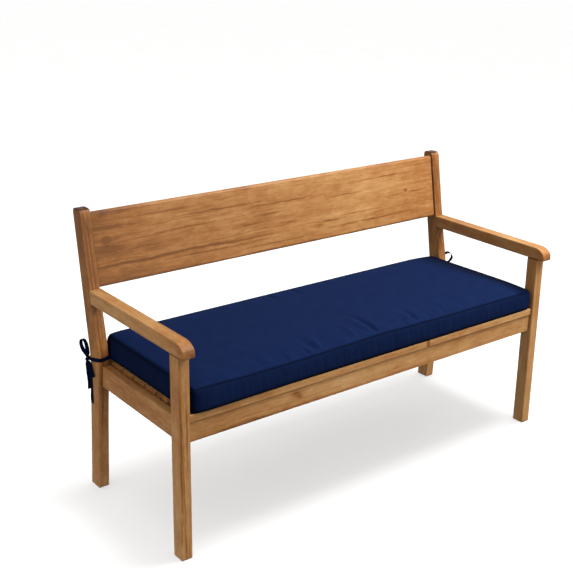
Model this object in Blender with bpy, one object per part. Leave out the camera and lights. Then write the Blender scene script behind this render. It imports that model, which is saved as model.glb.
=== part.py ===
"""A tied bench cushion on its plain wooden garden bench.

Every size is in metres, in the bench's own axes: X runs along the bench to the sitter's left as seen from
the front, Y from the front legs to the back, Z up from the floor. The empty "bench" carries all of it and
moves it back by half its depth, so that the row's origin is under the middle of the bench.
"""

import math

import bmesh
import bpy
from mathutils import Vector
from mathutils.geometry import interpolate_bezier

# ---- The bench -------------------------------------------------------------------------------------------
HALF_WIDTH = 0.750  # to the outer faces of the legs
HEIGHT = 0.9155
GAP = 0.0003  # what touching pieces keep between them
LEG_WIDTH = 0.036  # along X, of all four legs
LEG_DEPTH = 0.045  # along Y
LEG_INNER = HALF_WIDTH - LEG_WIDTH  # inner faces of the legs, at +X and -X
EASED = 0.003  # rounding of the legs' and arms' long edges
EASED_THIN = 0.002  # rounding of the slats and rails

ARM_BOTTOM = 0.633
ARM_THICK = 0.0425
ARM_WIDTH = 0.040
ARM_OUTER = 0.752
ARM_OVERHANG = 0.0273  # in front of the legs
ARM_LIP = 0.0115  # upright part of the arm's front end, below its curve
ARM_CURVE_LONG = 0.045  # the quarter ellipse above the lip

POST_FOOT_FACE = 0.502  # front face of a back post at the floor, its knee and its top
POST_KNEE_FACE = 0.467
POST_TOP_FACE = 0.5436
POST_KNEE_HEIGHT = 0.460
POST_BEND_RADIUS = 0.25
POST_LOWER_SLOPE = (POST_KNEE_FACE - POST_FOOT_FACE) / POST_KNEE_HEIGHT
POST_UPPER_SLOPE = (POST_TOP_FACE - POST_KNEE_FACE) / (HEIGHT - POST_KNEE_HEIGHT)
POST_TOP_ROUND = 0.014

SEAT_TOP = 0.449
SLAT_COUNT = 6
SLAT_THICK = 0.012
SLAT_WIDE = 0.0558
SLAT_PITCH = 0.0668
SLAT_FIRST = 0.0625  # front edge of the first slat
SLAT_END = 0.711

NOSING_FRONT = 0.0063
NOSING_BACK = 0.0515
NOSING_THICK = 0.0225
APRON_FRONT = 0.0177
APRON_THICK = 0.022
APRON_BOTTOM = 0.363

SIDE_RAIL_OUTER = 0.7385
SIDE_RAIL_THICK = 0.024
SIDE_RAIL_BOTTOM = 0.368
SIDE_RAIL_TOP = 0.437
CLEAT_SIDE = 0.020
CLEAT_BACK = 0.4665

BACK_RAIL_FRONT = 0.478
BACK_RAIL_THICK = 0.022
BEARER_WIDE = 0.022
BEARER_TALL = 0.032

BOARD_BOTTOM = 0.680
BOARD_TOP = 0.899
BOARD_THICK = 0.020
BOARD_BEHIND = 0.007  # behind the posts' front faces
BOARD_TOP_ROUND = 0.009

# ---- The cushion -----------------------------------------------------------------------------------------
CUSHION_LEFT = -0.699
CUSHION_RIGHT = 0.7125
CUSHION_FRONT = 0.0187
CUSHION_BACK = 0.507
BOXING = 0.066  # height of the strip between the two seams
CROWN = 0.011  # rise of the top panel above its seam
CROWN_RUN = 0.090  # from the seam to where the panel is level
CORNER_ROUND = 0.009
DRAWN_IN = 0.003  # how far the seams sit behind the boxing's middle
BOXING_ROWS = 5
CORNER_STEPS = 2
LONG_STEPS = 34
DEEP_STEPS = 10
# The front top seam wanders: at x along the bench, its height above or below the boxing's height.
FRONT_SEAM_RISE = ((-0.70, 0.001), (-0.48, -0.0045), (-0.32, -0.004), (-0.16, 0.001), (0.0, 0.006),
                   (0.17, 0.003), (0.36, 0.000), (0.71, -0.002))
SEAM_RISE_REACH = 0.14  # how far behind the front seam it is felt

# ---- The ties --------------------------------------------------------------------------------------------
TAPE_WIDE = 0.0115
TAPE_THICK = 0.0016
TAPE_GATHERED = 0.0056  # its width where it enters a knot
GATHER_RUN = 0.016
KNOT_HALF = (0.0060, 0.0078, 0.0068)

WOOD = (0.52, 0.27, 0.11)
NAVY = (0.012, 0.026, 0.115)


def clear_scene():
    for thing in list(bpy.data.objects):
        bpy.data.objects.remove(thing, do_unlink=True)


def material(name, colour, roughness):
    made = bpy.data.materials.new(name)
    made.use_nodes = True
    surface = made.node_tree.nodes["Principled BSDF"]
    surface.inputs["Base Color"].default_value = (*colour, 1.0)
    surface.inputs["Roughness"].default_value = roughness
    surface.inputs["Metallic"].default_value = 0.0
    return made


def post_face(height):
    """Y of a back post's front face, its two straight stretches joined by a gentle bend at the knee."""
    turn = math.atan(POST_UPPER_SLOPE) - math.atan(POST_LOWER_SLOPE)
    reach = POST_BEND_RADIUS * math.tan(turn / 2)
    above = height - POST_KNEE_HEIGHT
    if above < -reach:
        return POST_KNEE_FACE + POST_LOWER_SLOPE * above
    if above > reach:
        return POST_KNEE_FACE + POST_UPPER_SLOPE * above
    run = above + reach
    return (POST_KNEE_FACE - POST_LOWER_SLOPE * reach + POST_LOWER_SLOPE * run
            + (POST_UPPER_SLOPE - POST_LOWER_SLOPE) * run**2 / (4 * reach))


def rounded(corners, steps=4):
    """The closed outline through corners of (y, z, radius), each turned on an arc of its radius."""
    outline = []
    for at, (y, z, radius) in enumerate(corners):
        here = Vector((y, z))
        before = (Vector(corners[at - 1][:2]) - here).normalized()
        after = (Vector(corners[(at + 1) % len(corners)][:2]) - here).normalized()
        if radius == 0.0:
            outline.append(here)
            continue
        half = before.angle(after) / 2
        centre = here + (before + after).normalized() * radius / math.sin(half)
        first = here + before * radius / math.tan(half) - centre
        last = here + after * radius / math.tan(half) - centre
        turn = first.angle_signed(last)
        for step in range(steps + 1):
            angle = -turn * step / steps
            outline.append(centre + Vector((first.x * math.cos(angle) - first.y * math.sin(angle),
                                            first.x * math.sin(angle) + first.y * math.cos(angle))))
    return outline


def finish(name, mesh, look, parent, eased=0.0):
    """One named object of the bench, its faces turned outward and its sharp edges eased."""
    shape = bmesh.new()
    shape.from_mesh(mesh)
    bmesh.ops.recalc_face_normals(shape, faces=shape.faces)
    shape.to_mesh(mesh)
    shape.free()
    mesh.materials.append(look)
    made = bpy.data.objects.new(name, mesh)
    bpy.context.scene.collection.objects.link(made)
    made.parent = parent
    if eased:
        bevel = made.modifiers.new("eased edges", "BEVEL")
        bevel.width = eased
        bevel.segments = 2
        bevel.limit_method = "ANGLE"
        bevel.angle_limit = math.radians(35)
        mesh.shade_smooth()
        mesh.set_sharp_from_angle(angle=math.radians(40))
    return made


def profile_bar(name, outline, x_from, x_to, look, parent, eased):
    """A bar of one YZ outline, drawn out along X from x_from to x_to about its own middle."""
    half = abs(x_to - x_from) / 2
    shape = bmesh.new()
    ring = [shape.verts.new((-half, y, z)) for y, z in outline]
    drawn = bmesh.ops.extrude_face_region(shape, geom=[shape.faces.new(ring)])
    moved = [part for part in drawn["geom"] if isinstance(part, bmesh.types.BMVert)]
    bmesh.ops.translate(shape, verts=moved, vec=(2 * half, 0, 0))
    mesh = bpy.data.meshes.new(name)
    shape.to_mesh(mesh)
    shape.free()
    made = finish(name, mesh, look, parent, eased)
    made.location.x = (x_from + x_to) / 2
    return made


def bar(name, low, high, look, parent, eased=EASED_THIN):
    """A straight bar between two opposite corners, placed by its middle."""
    low = Vector(low)
    high = Vector(high)
    shape = bmesh.new()
    bmesh.ops.create_cube(shape, size=1.0)
    bmesh.ops.scale(shape, verts=shape.verts, vec=high - low)
    mesh = bpy.data.meshes.new(name)
    shape.to_mesh(mesh)
    shape.free()
    made = finish(name, mesh, look, parent, eased)
    made.location = (low + high) / 2
    return made


def post_outline():
    """A back post from the side: a splayed foot, the knee, a raked upper half and a domed top."""
    heights = [0.0, 0.20, 0.425, 0.445, 0.460, 0.475, 0.495]
    front = [(post_face(z), z, 0.0) for z in heights]
    back = [(y + LEG_DEPTH, z, 0.0) for y, z, _ in reversed(front)]
    top = [(POST_TOP_FACE, HEIGHT, POST_TOP_ROUND), (POST_TOP_FACE + LEG_DEPTH, HEIGHT, POST_TOP_ROUND)]
    return rounded(front + top + back, steps=5)


def arm_outline():
    """An arm from the side: level, with a curved front end over a short lip, cut to the post at the back."""
    top = ARM_BOTTOM + ARM_THICK
    curve_tall = ARM_THICK - ARM_LIP
    steps = 7
    outline = [(post_face(ARM_BOTTOM) - GAP, ARM_BOTTOM), (-ARM_OVERHANG, ARM_BOTTOM)]
    for step in range(steps + 1):
        angle = math.pi / 2 * step / steps
        outline.append((-ARM_OVERHANG + ARM_CURVE_LONG * (1 - math.cos(angle)),
                        ARM_BOTTOM + ARM_LIP + curve_tall * math.sin(angle)))
    outline.append((post_face(top) - GAP, top))
    return [Vector(point) for point in outline]


def side_rail_outline():
    """A side rail from the side: level, from the front leg's back face to the post's front face."""
    heights = [SIDE_RAIL_TOP, 0.41, SIDE_RAIL_BOTTOM]
    back = [Vector((post_face(z) - GAP, z)) for z in heights]
    front = LEG_DEPTH + GAP
    return [Vector((front, SIDE_RAIL_BOTTOM)), Vector((front, SIDE_RAIL_TOP)), *back]


def bearer_outline():
    """The middle bearer from the side: from the apron to the back rail, notched under the nosing."""
    top = SEAT_TOP - SLAT_THICK - GAP
    bottom = top - BEARER_TALL
    notch = SEAT_TOP - NOSING_THICK - 2 * GAP
    front = APRON_FRONT + APRON_THICK + GAP
    behind_nosing = NOSING_BACK + GAP
    back = BACK_RAIL_FRONT - GAP
    return [Vector(point) for point in ((front, bottom), (front, notch), (behind_nosing, notch),
                                        (behind_nosing, top), (back, top), (back, bottom))]


def build_sides(wood, bench):
    for side, name in ((-1, "left"), (1, "right")):
        outer = side * HALF_WIDTH
        inner = side * LEG_INNER
        bar(f"front_leg_{name}", (min(outer, inner), 0, 0), (max(outer, inner), LEG_DEPTH, ARM_BOTTOM - GAP),
            wood, bench, EASED)
        profile_bar(f"back_post_{name}", post_outline(), inner, outer, wood, bench, EASED)
        arm_outer = side * ARM_OUTER
        arm_inner = side * (ARM_OUTER - ARM_WIDTH)
        profile_bar(f"arm_{name}", arm_outline(), arm_inner, arm_outer, wood, bench, EASED)
        rail_outer = side * SIDE_RAIL_OUTER
        rail_inner = side * (SIDE_RAIL_OUTER - SIDE_RAIL_THICK)
        profile_bar(f"side_rail_{name}", side_rail_outline(), rail_inner, rail_outer, wood, bench, EASED_THIN)
        cleat_far = rail_inner - side * GAP
        cleat_near = cleat_far - side * CLEAT_SIDE
        cleat_top = SEAT_TOP - SLAT_THICK - GAP
        bar(f"seat_cleat_{name}",
            (min(cleat_far, cleat_near), NOSING_BACK + GAP, cleat_top - CLEAT_SIDE),
            (max(cleat_far, cleat_near), CLEAT_BACK, cleat_top), wood, bench)


def build_seat(wood, bench):
    between_legs = LEG_INNER - GAP
    apron_top = SEAT_TOP - NOSING_THICK - GAP
    bar("front_apron", (-between_legs, APRON_FRONT, APRON_BOTTOM),
        (between_legs, APRON_FRONT + APRON_THICK, apron_top), wood, bench)
    bar("seat_nosing", (-between_legs, NOSING_FRONT, apron_top + GAP),
        (between_legs, NOSING_BACK, SEAT_TOP), wood, bench)
    for number in range(SLAT_COUNT):
        front = SLAT_FIRST + number * SLAT_PITCH
        bar(f"seat_slat_{number + 1}", (-SLAT_END, front, SEAT_TOP - SLAT_THICK),
            (SLAT_END, front + SLAT_WIDE, SEAT_TOP), wood, bench)
    bar("back_rail", (-between_legs, BACK_RAIL_FRONT, SIDE_RAIL_BOTTOM),
        (between_legs, BACK_RAIL_FRONT + BACK_RAIL_THICK, SEAT_TOP), wood, bench)
    profile_bar("middle_bearer", bearer_outline(), -BEARER_WIDE / 2, BEARER_WIDE / 2, wood, bench, EASED_THIN)


def build_backrest(wood, bench):
    """The one wide board of the back, between the posts and raked with them."""
    rake = math.atan(POST_UPPER_SLOPE)
    tall = (BOARD_TOP - BOARD_BOTTOM) / math.cos(rake)
    half = BOARD_THICK / 2
    outline = rounded([(-half, -tall / 2, EASED), (-half, tall / 2, BOARD_TOP_ROUND),
                       (half, tall / 2, BOARD_TOP_ROUND), (half, -tall / 2, EASED)])
    between = LEG_INNER - GAP
    board = profile_bar("backrest_board", outline, -between, between, wood, bench, EASED_THIN)
    middle = (BOARD_TOP + BOARD_BOTTOM) / 2
    behind = (BOARD_BEHIND + half) / math.cos(rake)
    board.location = (0, post_face(middle) + behind, middle)
    board.rotation_euler.x = -rake


def eased_between(table, at):
    """The value of a table of (place, value) rows at one place, smoothed between its rows."""
    if at <= table[0][0]:
        return table[0][1]
    for (start, low), (end, high) in zip(table, table[1:]):
        if at <= end:
            part = (at - start) / (end - start)
            return low + (high - low) * part * part * (3 - 2 * part)
    return table[-1][1]


def lines_across(half, middle_steps):
    """Places of the grid's lines across one side: close together in the two corners, even between."""
    corner = [half - CORNER_ROUND * step / CORNER_STEPS for step in range(CORNER_STEPS)]
    inside = half - CORNER_ROUND
    middle = [-inside + 2 * inside * step / middle_steps for step in range(middle_steps + 1)]
    return [-place for place in corner] + middle + corner[::-1]


def round_corner(x, y, half_x, half_y):
    """A point of the square-cornered panel moved into the panel's rounded corner."""
    over_x = (abs(x) - (half_x - CORNER_ROUND)) / CORNER_ROUND
    over_y = (abs(y) - (half_y - CORNER_ROUND)) / CORNER_ROUND
    if over_x <= 0 or over_y <= 0:
        return x, y
    turned_x = over_x * math.sqrt(1 - over_y**2 / 2)
    turned_y = over_y * math.sqrt(1 - over_x**2 / 2)
    return (math.copysign(half_x - CORNER_ROUND * (1 - turned_x), x),
            math.copysign(half_y - CORNER_ROUND * (1 - turned_y), y))


def crown_at(x, y, half_x, half_y):
    """Height of the top panel above its seam: a quick rise from every side, then nearly level."""
    rise = 1.0
    for edge in (half_x - abs(x), half_y - abs(y)):
        rise *= 1 - (1 - min(edge / CROWN_RUN, 1.0)) ** 2
    return CROWN * rise


def build_cushion(navy, bench):
    """The filled cushion as one solid: crowned top panel, boxing drawn in at both seams, level underside."""
    half_x = (CUSHION_RIGHT - CUSHION_LEFT) / 2
    half_y = (CUSHION_BACK - CUSHION_FRONT) / 2
    seam_x = half_x - DRAWN_IN
    seam_y = half_y - DRAWN_IN
    across = lines_across(seam_x, LONG_STEPS)
    along = lines_across(seam_y, DEEP_STEPS)
    middle_x = (CUSHION_RIGHT + CUSHION_LEFT) / 2
    shape = bmesh.new()
    bmesh.ops.create_grid(shape, x_segments=len(across) - 1, y_segments=len(along) - 1, size=1.0)
    for vert in shape.verts:
        square_x = across[round((vert.co.x + 1) / 2 * (len(across) - 1))]
        square_y = along[round((vert.co.y + 1) / 2 * (len(along) - 1))]
        x, y = round_corner(square_x, square_y, seam_x, seam_y)
        rise = eased_between(FRONT_SEAM_RISE, x + middle_x)
        rise *= max(0.0, 1 - (y + seam_y) / SEAM_RISE_REACH) ** 2
        vert.co = (x, y, BOXING + crown_at(square_x, square_y, seam_x, seam_y) + rise)
    rim = [edge for edge in shape.edges if edge.is_boundary]
    tops = {vert: vert.co.copy() for edge in rim for vert in edge.verts}
    for row in range(1, BOXING_ROWS + 1):
        part = row / BOXING_ROWS
        drawn = bmesh.ops.extrude_edge_only(shape, edges=rim)
        rim = [item for item in drawn["geom"] if isinstance(item, bmesh.types.BMEdge)]
        new = [item for item in drawn["geom"] if isinstance(item, bmesh.types.BMVert)]
        above = {vert: next(other for edge in vert.link_edges for other in edge.verts if other in tops)
                 for vert in new}
        tops = {vert: tops[above[vert]] for vert in new}
        bulge = 1 + DRAWN_IN * math.sin(math.pi * part) / seam_x
        bulge_y = 1 + DRAWN_IN * math.sin(math.pi * part) / seam_y
        for vert, top in tops.items():
            vert.co = (top.x * bulge, top.y * bulge_y, top.z * (1 - part))
    bmesh.ops.edgeloop_fill(shape, edges=rim)
    mesh = bpy.data.meshes.new("cushion")
    shape.to_mesh(mesh)
    shape.free()
    cushion = finish("cushion", mesh, navy, bench)
    mesh.shade_smooth()
    mesh.set_sharp_from_angle(angle=math.radians(50))
    cushion.location = (middle_x, (CUSHION_FRONT + CUSHION_BACK) / 2, SEAT_TOP + GAP)


def smooth_route(points, stations):
    """Evenly spaced places and directions on the smooth curve that runs through hand-chosen points."""
    ends = [points[0] * 2 - points[1], *points, points[-1] * 2 - points[-2]]
    fine = []
    for before, start, end, after in zip(ends, ends[1:], ends[2:], ends[3:]):
        piece = interpolate_bezier(start, start + (end - before) / 6, end - (after - start) / 6, end, 16)
        fine += piece[:-1]
    fine.append(points[-1])
    runs = [0.0]
    for start, end in zip(fine, fine[1:]):
        runs.append(runs[-1] + (end - start).length)
    route = []
    at = 0
    for station in range(stations):
        wanted = runs[-1] * station / (stations - 1)
        while at < len(fine) - 2 and runs[at + 1] < wanted:
            at += 1
        part = (wanted - runs[at]) / (runs[at + 1] - runs[at])
        route.append((fine[at].lerp(fine[at + 1], part), (fine[at + 1] - fine[at]).normalized(), wanted))
    return route, runs[-1]


def tape(name, points, facing, gathered, navy, bench, stations=26):
    """A flat tie tape along a route: its width lies toward facing, narrower where it enters a knot."""
    route, length = smooth_route([Vector(point) for point in points], stations)
    shape = bmesh.new()
    rings = []
    for place, direction, run in route:
        wide = (Vector(facing) - direction * direction.dot(Vector(facing))).normalized()
        flat = direction.cross(wide)
        nearest = min([run if "start" in gathered else length, length - run if "end" in gathered else length])
        share = min(nearest / GATHER_RUN, 1.0)
        half_wide = (TAPE_GATHERED + (TAPE_WIDE - TAPE_GATHERED) * share) / 2
        half_thick = TAPE_THICK / 2
        rings.append([shape.verts.new(place + wide * half_wide * across + flat * half_thick * through)
                      for across, through in ((-1, -1), (1, -1), (1, 1), (-1, 1))])
    for ring, following in zip(rings, rings[1:]):
        for corner in range(4):
            after = (corner + 1) % 4
            shape.faces.new((ring[corner], ring[after], following[after], following[corner]))
    shape.faces.new(rings[0])
    shape.faces.new(rings[-1])
    mesh = bpy.data.meshes.new(name)
    shape.to_mesh(mesh)
    shape.free()
    return finish(name, mesh, navy, bench)


def knot(name, place, navy, bench):
    shape = bmesh.new()
    bmesh.ops.create_uvsphere(shape, u_segments=16, v_segments=10, radius=1.0)
    bmesh.ops.scale(shape, verts=shape.verts, vec=KNOT_HALF)
    mesh = bpy.data.meshes.new(name)
    shape.to_mesh(mesh)
    shape.free()
    mesh.shade_smooth()
    made = finish(name, mesh, navy, bench)
    made.location = place


def knot_side(place, toward):
    """Where a tape that comes from toward meets the knot, a gap off its surface."""
    way = (Vector(toward) - place).normalized()
    reach = 1 / math.sqrt(sum((step / half) ** 2 for step, half in zip(way, KNOT_HALF)))
    return place + way * (reach + GAP)


def build_ties(navy, bench):
    """The four tapes sewn to the back corners, each pair tied in a bow round its back post.

    The routes are written for the left post (-X), without their ends on the knot. The right post has
    their mirror image, but for where the front tape is sewn on and for the loop, which leans outward.
    """
    knot_place = (-0.7588, 0.5225, 0.4475)
    front_band = [(-0.7276, 0.4673, 0.4605), (-0.7400, 0.4673, 0.4593), (-0.7493, 0.4681, 0.4602),
                  (-0.7516, 0.4722, 0.4600), (-0.7515, 0.4830, 0.4560), (-0.7516, 0.4960, 0.4525),
                  (-0.7526, 0.5080, 0.4495)]
    sewn_on = {"left": [(-0.6994, 0.4688, 0.4628), (-0.7070, 0.4675, 0.4635), (-0.7160, 0.4672, 0.4636)],
               "right": [(0.7130, 0.4580, 0.4625), (0.7182, 0.4655, 0.4632)]}
    back_band = [(-0.6800, 0.5072, 0.4590), (-0.6890, 0.5135, 0.4600), (-0.7020, 0.5152, 0.4600),
                 (-0.7200, 0.5155, 0.4580), (-0.7370, 0.5160, 0.4550), (-0.7480, 0.5182, 0.4520)]
    standing_loop = [(-0.7590, 0.5172, 0.4640), (-0.7585, 0.5190, 0.4746), (-0.7583, 0.5229, 0.4890),
                     (-0.7582, 0.5300, 0.5010), (-0.7583, 0.5410, 0.5062), (-0.7586, 0.5530, 0.5030),
                     (-0.7590, 0.5610, 0.4945), (-0.7592, 0.5622, 0.4840), (-0.7593, 0.5550, 0.4735),
                     (-0.7593, 0.5430, 0.4665), (-0.7592, 0.5325, 0.4600)]
    leaning_loop = [(0.7600, 0.5170, 0.4680), (0.7640, 0.5125, 0.4880), (0.7700, 0.5072, 0.5040),
                    (0.7775, 0.5012, 0.5142), (0.7850, 0.4950, 0.5178), (0.7925, 0.4890, 0.5140),
                    (0.7975, 0.4850, 0.5030), (0.7965, 0.4862, 0.4925), (0.7905, 0.4910, 0.4820),
                    (0.7830, 0.4980, 0.4720), (0.7760, 0.5070, 0.4620), (0.7700, 0.5148, 0.4545)]
    leaning_toward = (0.63, 0.78, 0)
    hanging_loop = [(-0.7662, 0.5140, 0.4330), (-0.7662, 0.5070, 0.4200), (-0.7648, 0.5000, 0.4075),
                    (-0.7630, 0.4955, 0.4000), (-0.7603, 0.4925, 0.3968), (-0.7572, 0.4920, 0.3990),
                    (-0.7556, 0.4950, 0.4070), (-0.7560, 0.5020, 0.4190), (-0.7582, 0.5088, 0.4312)]
    tail_behind = [(-0.7596, 0.5297, 0.4320), (-0.7588, 0.5285, 0.4101), (-0.7582, 0.5265, 0.3757),
                   (-0.7580, 0.5252, 0.3448)]
    tail_before = [(-0.7524, 0.5165, 0.4335), (-0.7524, 0.5130, 0.4150), (-0.7524, 0.5120, 0.3894),
                   (-0.7526, 0.5120, 0.3487), (-0.7530, 0.5125, 0.2985)]
    routes = {"front_band": (front_band, (0, 0, 1), "end"), "back_band": (back_band, (0, 0, 1), "end"),
              "loop_up": (standing_loop, (1, 0, 0), "start end"),
              "loop_down": (hanging_loop, (0.53, -0.85, 0), "start end"),
              "tail_a": (tail_behind, (1, 0.1, 0), "start"), "tail_b": (tail_before, (0.15, -1, 0), "start")}
    for side, name in ((-1, "left"), (1, "right")):
        place = Vector((-side * knot_place[0], knot_place[1], knot_place[2]))
        knot(f"tie_{name}_knot", place, navy, bench)
        for piece, (points, facing, on_knot) in routes.items():
            route = [(-side * x, y, z) for x, y, z in points]
            toward = (-side * facing[0], facing[1], facing[2])
            if piece == "front_band":
                route = sewn_on[name] + route
            if piece == "loop_up" and name == "right":
                route = leaning_loop
                toward = leaning_toward
            start = [knot_side(place, route[0])] if "start" in on_knot else []
            end = [knot_side(place, route[-1])] if "end" in on_knot else []
            tape(f"tie_{name}_{piece}", start + route + end, toward, on_knot, navy, bench)


def main():
    clear_scene()
    wood = material("oiled hardwood", WOOD, 0.45)
    navy = material("navy cloth", NAVY, 0.85)
    bench = bpy.data.objects.new("bench", None)
    bpy.context.scene.collection.objects.link(bench)
    deepest = max(point.x for point in post_outline())
    bench.location.y = -(deepest - ARM_OVERHANG) / 2
    build_sides(wood, bench)
    build_seat(wood, bench)
    build_backrest(wood, bench)
    build_cushion(navy, bench)
    build_ties(navy, bench)


main()
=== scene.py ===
import math

import bpy
import numpy as np
from mathutils import Matrix, Vector


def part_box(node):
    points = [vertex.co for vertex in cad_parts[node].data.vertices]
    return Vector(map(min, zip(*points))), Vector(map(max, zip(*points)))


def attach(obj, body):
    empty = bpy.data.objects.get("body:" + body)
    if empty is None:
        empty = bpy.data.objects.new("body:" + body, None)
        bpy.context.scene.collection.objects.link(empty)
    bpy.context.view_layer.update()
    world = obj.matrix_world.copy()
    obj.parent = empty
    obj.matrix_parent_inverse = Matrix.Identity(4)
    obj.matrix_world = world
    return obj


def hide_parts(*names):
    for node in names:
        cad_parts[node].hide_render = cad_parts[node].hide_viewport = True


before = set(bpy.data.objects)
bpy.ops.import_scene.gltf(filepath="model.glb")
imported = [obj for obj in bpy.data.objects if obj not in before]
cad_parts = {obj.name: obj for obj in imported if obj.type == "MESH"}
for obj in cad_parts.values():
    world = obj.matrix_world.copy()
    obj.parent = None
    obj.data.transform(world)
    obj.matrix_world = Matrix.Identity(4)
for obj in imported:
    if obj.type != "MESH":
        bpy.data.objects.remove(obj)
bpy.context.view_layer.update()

# ---- The camera ------------------------------------------------------------------------------------------
# A long lens at a standing person's eye height, in front of the bench's left end and turned to its middle.
# The frame was cut from a wider picture, so the lens's own centre lies right of and above the frame's.
eye = Vector((-2.0678, -2.4726, 1.7463))
yaw, pitch, roll = 0.6784, -0.3249, 0.0221
focal_pixels = 1036.77
frame_pixels = 573
lens_centre = (311.5, 268.5)
forward = Vector((math.sin(yaw) * math.cos(pitch), math.cos(yaw) * math.cos(pitch), math.sin(pitch)))
level = Vector((math.cos(yaw), -math.sin(yaw), 0.0))
upward = level.cross(forward)
right = level * math.cos(roll) + upward * math.sin(roll)
top = upward * math.cos(roll) - level * math.sin(roll)
lens = bpy.data.cameras.new("camera")
lens.sensor_width = 36.0
lens.lens = lens.sensor_width * focal_pixels / frame_pixels
lens.shift_x = 0.5 - lens_centre[0] / frame_pixels
lens.shift_y = lens_centre[1] / frame_pixels - 0.5


def placed(name, data):
    """A new object of this data, in the scene."""
    made = bpy.data.objects.new(name, data)
    bpy.context.scene.collection.objects.link(made)
    return made


camera = placed("camera", lens)
camera.matrix_world = Matrix.Translation(eye) @ Matrix((right, top, -forward)).transposed().to_4x4()
bpy.context.scene.camera = camera

# ---- The ties --------------------------------------------------------------------------------------------
# Flat tapes of the cushion's own navy cloth, folded, stitched along both edges and sewn into its back
# corners. On each side one goes in front of the back post and one behind it, and the two are tied in a bow
# at the post's outer back corner: an upright loop, a drooping loop and two tails, round one small knot.
LEGS_FRONT = -0.27928  # y of the legs' front faces; the routes are written from there
TAPE_WIDE, TAPE_THICK = 0.0125, 0.0016
TAPE_GATHERED, GATHER_RUN = 0.0072, 0.013  # a tape's width at the knot, and over what run it draws in
TAPE_STATION = 0.0016
STITCHES = 0.73  # where its stitches run, as a share of the half width
ROCK, ROCK_RUN = 0.16, 0.011  # how far its width rocks about the route, in radians, and how fast
CUP, CUP_RUN = 0.0007, 0.019  # how far it cups, and how fast
HELD_RUN = 0.012  # near its ends it can do neither
KNOT_HALF = np.array([0.0060, 0.0078, 0.0068])
KNOT_BAND, KNOT_EDGE = 0.42, 0.50  # the knot's wrap, as shares of its reach: half its width and its sunk edge
GAP = 0.0003
NAVY_DEEP = (0.0010, 0.0039, 0.0195)
NAVY = (0.0022, 0.0073, 0.0335)
NAVY_WORN = (0.0040, 0.0117, 0.0460)


class Socket:
    """A shader socket. Sums, products and the like of sockets and numbers add the Math nodes for them."""

    def __init__(self, socket):
        self.socket = socket

    def node(self, kind, settings=None, out=0, **into):
        """A new node of the same material: its settings first, then each named socket's value or link."""
        tree = self.socket.id_data
        made = tree.nodes.new(kind)
        for name, value in (settings or {}).items():
            if name == "stops":
                ramp = made.color_ramp.elements
                while len(ramp) < len(value):
                    ramp.new(1.0)
                for stop, (place, colour) in zip(ramp, value):
                    stop.position = place
                    stop.color = (*colour, 1.0)
            else:
                setattr(made, name, value)
        for name, value in into.items():
            socket = next(item for item in made.inputs if item.identifier == name)
            if isinstance(value, Socket):
                tree.links.new(value.socket, socket)
            else:
                socket.default_value = value
        return Socket(made.outputs[out])

    def feed(self, shader, name):
        self.socket.id_data.links.new(self.socket, shader.inputs[name])

    def math(self, operation, *others, clamp=False):
        names = ("Value", "Value_001", "Value_002")
        into = dict(zip(names, (self, *others)))
        return self.node("ShaderNodeMath", {"operation": operation, "use_clamp": clamp}, **into)

    def __add__(self, other):
        return self.math("ADD", other)

    def __sub__(self, other):
        return self.math("SUBTRACT", other)

    def __mul__(self, other):
        return self.math("MULTIPLY", other)

    __radd__ = __add__
    __rmul__ = __mul__

    def clamped(self):
        return self.math("ADD", 0.0, clamp=True)

    def between(self, low, high):
        """0 below low, 1 above high, and a smooth step between them."""
        return self.node("ShaderNodeMapRange", {"interpolation_type": "SMOOTHSTEP"},
                         Value=self, **{"From Min": low, "From Max": high})

    def noise(self, *scale, detail=2.0, roughness=0.5):
        """Soft noise about 0.5, with its own scale along each of the three directions."""
        place = self.node("ShaderNodeVectorMath", {"operation": "MULTIPLY"}, Vector=self, Vector_001=scale)
        return place.node("ShaderNodeTexNoise", Vector=place, Scale=1.0, Detail=detail, Roughness=roughness)

    def bell(self, middle, halves):
        """1 at a place and 0 away from it: a bell over the first two directions, with its own half widths."""
        scale = (*[1 / half for half in halves], 0.0)
        centred = self.node("ShaderNodeVectorMath", {"operation": "MULTIPLY_ADD"}, Vector=self,
                            Vector_001=scale, Vector_002=[-place * part for place, part in
                                                          zip((*middle, 0.0), scale)])
        away = centred.node("ShaderNodeVectorMath", {"operation": "DOT_PRODUCT"}, out=1, Vector=centred,
                            Vector_001=centred)
        return (away * -1.0).math("EXPONENT")

    def parts(self):
        made = self.node("ShaderNodeSeparateXYZ", Vector=self).socket.node
        return [Socket(out) for out in made.outputs]

    def mixed(self, colour, share):
        """This colour turned into another one by a share."""
        return self.node("ShaderNodeMix", {"data_type": "RGBA"}, out=2, A_Color=self, B_Color=colour,
                         Factor_Float=share)


def new_look(name, attribute, constants):
    """A new material: itself, its surface shader, and the socket of a piece's own attribute. The constants
    are the shader's values that stay the same all over."""
    made = bpy.data.materials.new(name)
    made.use_nodes = True
    tree = made.node_tree
    place = tree.nodes.new("ShaderNodeAttribute")
    place.attribute_name = attribute
    shader = tree.nodes["Principled BSDF"]
    for constant, value in constants.items():
        shader.inputs[constant].default_value = value
    return made, shader, Socket(place.outputs["Vector"])


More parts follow.
